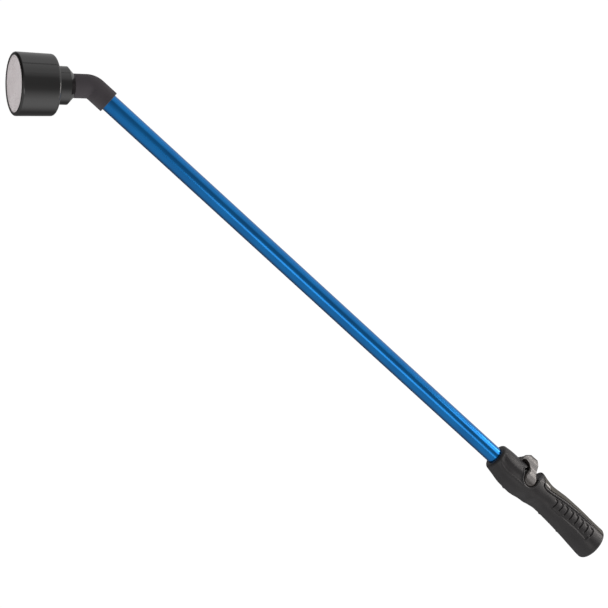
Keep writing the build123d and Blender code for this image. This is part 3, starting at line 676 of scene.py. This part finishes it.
def apply_modifiers(piece):
    """Bakes the piece's modifiers into its mesh."""
    bpy.context.view_layer.update()
    evaluated = piece.evaluated_get(bpy.context.evaluated_depsgraph_get())
    mesh = bpy.data.meshes.new_from_object(evaluated)
    piece.modifiers.clear()
    piece.data = mesh


def handle_shell(name, side, node):
    """Half of the grip's hard shell: side is +1 near (+Z), -1 far."""
    places = grip_places()
    angles = np.linspace(0, math.pi, 190)
    outer = grip_grid(places, angles, shell_relief)
    inner = grip_grid(places, angles, lambda x, y, z: np.full_like(x, -WALL))
    x, angle = np.meshgrid(places, angles, indexing="ij")
    for opening, low, high in CLOSED_STRETCHES:
        ring = np.stack([x, opening * np.cos(angle), opening * np.sin(angle)], axis=-1)
        closed = (x > low - 0.01) & (x < high + 0.01)
        inner = np.where(closed[..., None], ring, inner)
    outer[..., 2] *= side
    inner[..., 2] *= side
    piece = new_piece(name, *sandwich(outer, inner), "handle_plastic", ROOT)
    holes = [prism(SLOT, -40, 40)]
    if side < 0:
        bosses = []
        for x, y, boss_r in SCREWS:
            skin = -HALF_WIDTH_AT(x) * np.sqrt(1 - ((y - CENTRE_AT(x)) / HALF_HEIGHT_AT(x)) ** 2)
            bosses.append(prism(arc_points((x, y), boss_r, 0, 345), float(skin) + 1.2, SCREW_HEAD_Z))
            holes.append(prism(arc_points((x, y), SCREW_HEAD_R + 0.1, 0, 345), -41, SCREW_HEAD_Z - 0.01))
        combine(piece, joined("bosses", bosses), "UNION")
    combine(piece, joined("holes", holes), "DIFFERENCE")
    finish_piece(piece, "handle_plastic", ROOT)
    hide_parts(node)


BEVEL_MIDDLE = -90.0       # of the polished bevel, along the grip
BEVEL_HALF_LENGTH = 5.5
BEVEL_DEPTH = 0.7
BEVEL_WIDTH = 3.4
PAD_CROWN = 0.2
PAD_EDGE_DROP = 0.5
PAD_EDGE_ROUND = 0.35


def soft_pad():
    """Soft cover of the top of the grip, with a crisp edge and a polished bevel at its front corner, whose
    faces take a lighter copy of the pad colour as a painted highlight.
    """
    places = np.arange(PAD_FRONT, PAD_REAR, 0.35)
    across_grip = np.linspace(-1, 1, 171)
    x = places[:, None] + 0 * across_grip[None, :]
    reach = (PAD_EDGE(x) + 0.55 - CENTRE_AT(x)) / HALF_HEIGHT_AT(x)
    angle = np.arccos(np.clip(reach, -1, 1)) * across_grip[None, :]
    y0 = CENTRE_AT(x) + HALF_HEIGHT_AT(x) * np.cos(angle)
    edge = np.minimum(y0 - PAD_EDGE(x) - 0.5, np.minimum(x - PAD_FRONT + 0.2, PAD_REAR + 0.2 - x))
    bevel = np.clip(1 - ((x - BEVEL_MIDDLE) / BEVEL_HALF_LENGTH) ** 2, 0, 1) * (y0 < 14)
    crown = PAD_CROWN - PAD_EDGE_DROP * np.exp(-np.maximum(edge, 0) / PAD_EDGE_ROUND)
    crown = crown - BEVEL_DEPTH * bevel * np.clip(1 - edge / BEVEL_WIDTH, 0, 1)

    def layer(lift):
        y = CENTRE_AT(x) + (HALF_HEIGHT_AT(x) + lift) * np.cos(angle)
        z = (HALF_WIDTH_AT(x) + lift) * np.sin(angle)
        return np.stack([x, y, z], axis=-1)

    solid = sandwich(layer(crown), layer(np.full_like(x, -PAD_THICK)))
    piece = new_piece("soft_pad", *solid, "soft_pad", ROOT)
    piece.data.materials.append(PAD_POLISHED_HIGHLIGHT)
    # the bevel's faces take the lighter copy: a painted highlight on the pad's front corner
    for face in piece.data.polygons:
        px, py, pz = face.center / MM
        low = PAD_EDGE(px) + 0.6
        width = 3.0 * max(1 - ((px - BEVEL_MIDDLE) / 5.2) ** 2, 0)
        if width and low < py < low + width and face.normal.y * face.normal.z * pz > 0:
            face.material_index = 1
    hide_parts("top_grip")


# ---- thumb lever ---------------------------------------------------------------------------
LEVER_FOOT = (-113.2, 0.0)
LEVER_FOOT_R = 7.9
LEVER_LEG_INNER = 12.4
LEVER_LEG = [(-105.5, 2.0), (-106.4, 5.0), (-108.6, 9.4), (-109.6, 13.4), (-110.6, 18.0), (-119.4, 18.0),
             (-119.2, 11.5), (-119.6, 7.7), (-120.8, 3.0)]
LEVER_SIDE = [(-109.6, 13.4), (-110.8, 20.5), (-114.2, 27.2), (-124.2, 26.8), (-130.7, 21.0), (-132.6, 17.6),
              (-133.0, 13.0), (-131.2, 14.4), (-128.4, 16.2), (-123.0, 14.8), (-119.3, 10.8)]
LEVER_WIDTH_AT = curve_through([(-8.5, 14.2), (-5.0, 16.0), (-1.0, 16.6), (3.0, 16.5), (8.0, 15.2),
                                (13.0, 13.5), (20.0, 12.6), (24.0, 11.4), (27.6, 9.4)])
LEVER_ROUND = 2.2
# the hood is solid above this height, and a cheek fills each of its thin sides
HOOD_SOLID_FROM = 18.6
CHEEK_FROM, CHEEK_TO = 8.0, 12.9
LEVER_WIDEST = 17.0
HOOD_CHEEK = [(-111.0, 14.5), (-111.4, 20.3), (-114.8, 26.0), (-124.0, 25.6), (-129.8, 20.4), (-130.6, 17.2),
              (-123.4, 15.8), (-119.0, 14.0)]


def remeshed(piece, voxel, relax):
    """Even small faces over the piece, with its edges softened."""
    remesh = piece.modifiers.new("remesh", "REMESH")
    remesh.mode = "VOXEL"
    remesh.voxel_size = voxel * MM
    smooth = piece.modifiers.new("relax", "SMOOTH")
    smooth.factor = 0.5
    smooth.iterations = relax
    apply_modifiers(piece)


def lever_limit(x, y):
    """Half width of the lever at each (x, y): its cross-section, rounded towards its side outline."""
    foot = LEVER_FOOT_R - np.hypot(x - LEVER_FOOT[0], y - LEVER_FOOT[1])
    depth = np.maximum(foot, np.maximum(inside_depth(LEVER_LEG, x, y), inside_depth(LEVER_SIDE, x, y)))
    half = LEVER_WIDTH_AT(y)
    bend = np.clip((half - LEVER_LEG_INNER) * 0.75, 0.9, LEVER_ROUND)
    short = np.clip(bend - depth, 0, bend)
    return half - (bend - np.sqrt(bend ** 2 - short ** 2))


def soft_lever():
    """The thumb lever: rounded bulging legs and feet, and softened edges on the hood."""
    fuller = []
    for side in (-1, 1):
        low, high = sorted((side * CHEEK_FROM, side * CHEEK_TO))
        fuller.append(prism(HOOD_CHEEK, low, high))
        low, high = sorted((side * LEVER_LEG_INNER, side * LEVER_WIDEST))
        fuller.append(prism(LEVER_LEG, low, high))
        fuller.append(prism(arc_points(LEVER_FOOT, LEVER_FOOT_R, 0, 355, 72), low, high))
    piece = joined("lever_skin", fuller)
    made = bmesh.new()
    made.from_mesh(piece.data)
    made.from_mesh(NODES["thumb_lever"].data)
    made.to_mesh(piece.data)
    made.free()
    voxel = 0.3
    remeshed(piece, voxel, 3)

    def shape(tolerance):
        points = np.empty(len(piece.data.vertices) * 3)
        piece.data.vertices.foreach_get("co", points)
        points = points.reshape(-1, 3) / MM
        x, y, z = points.T
        limit = lever_limit(x, y)
        inner_wall = np.where(y > HOOD_SOLID_FROM, 0.0, LEVER_LEG_INNER + 0.3)
        outside = np.abs(z) > np.maximum(limit - tolerance, inner_wall)
        points[outside, 2] = (np.sign(z) * limit)[outside]
        piece.data.vertices.foreach_set("co", (points * MM).ravel())
        piece.data.update()

    shape(0.0)
    remeshed(piece, voxel, 10)
    shape(0.4)
    finish_piece(piece, "lever_plastic", LEVER, 60)
    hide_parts("thumb_lever")


add_camera()
add_world()
add_floor()
for light_row in LIGHTS:
    add_area_light(*light_row)
dress_cad_nodes()
handle_shell("shell_near", 1, "handle_shell_near")
handle_shell("shell_far", -1, "handle_shell_far")
soft_pad()
soft_lever()
